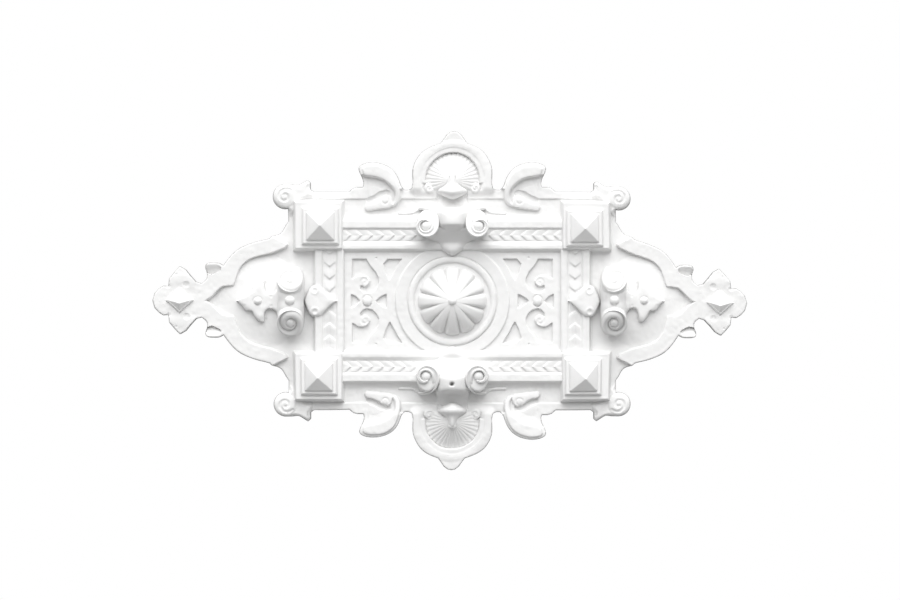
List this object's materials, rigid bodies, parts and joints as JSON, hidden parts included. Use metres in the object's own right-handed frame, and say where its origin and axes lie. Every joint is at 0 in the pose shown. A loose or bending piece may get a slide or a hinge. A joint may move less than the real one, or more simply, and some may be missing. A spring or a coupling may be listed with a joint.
{
  "type": "ceiling rosette",
  "caption": "Long symmetric cast ceiling rosette with a lobed dome in a square-cornered frame, shells, scrolled consoles, pyramid bosses and crossed ends, flat at the back.",
  "frame": {"origin": "middle of the flat back, where the rosette is glued and screwed to the ceiling", "axes": "+Y out of the flat back into what carries it, so the carved face looks towards -Y; +X along the rosette; +Z across it, up as the picture shows it. Turned a quarter about X it goes on a ceiling, face down."},
  "size_m": [1, 0.071, 0.571],
  "materials": {
    "white_plaster": "matt white casting plaster, as cast and primed"
  },
  "bodies": {
    "root": {"ceiling_rosette": "white_plaster"}
  },
  "joints": []
}
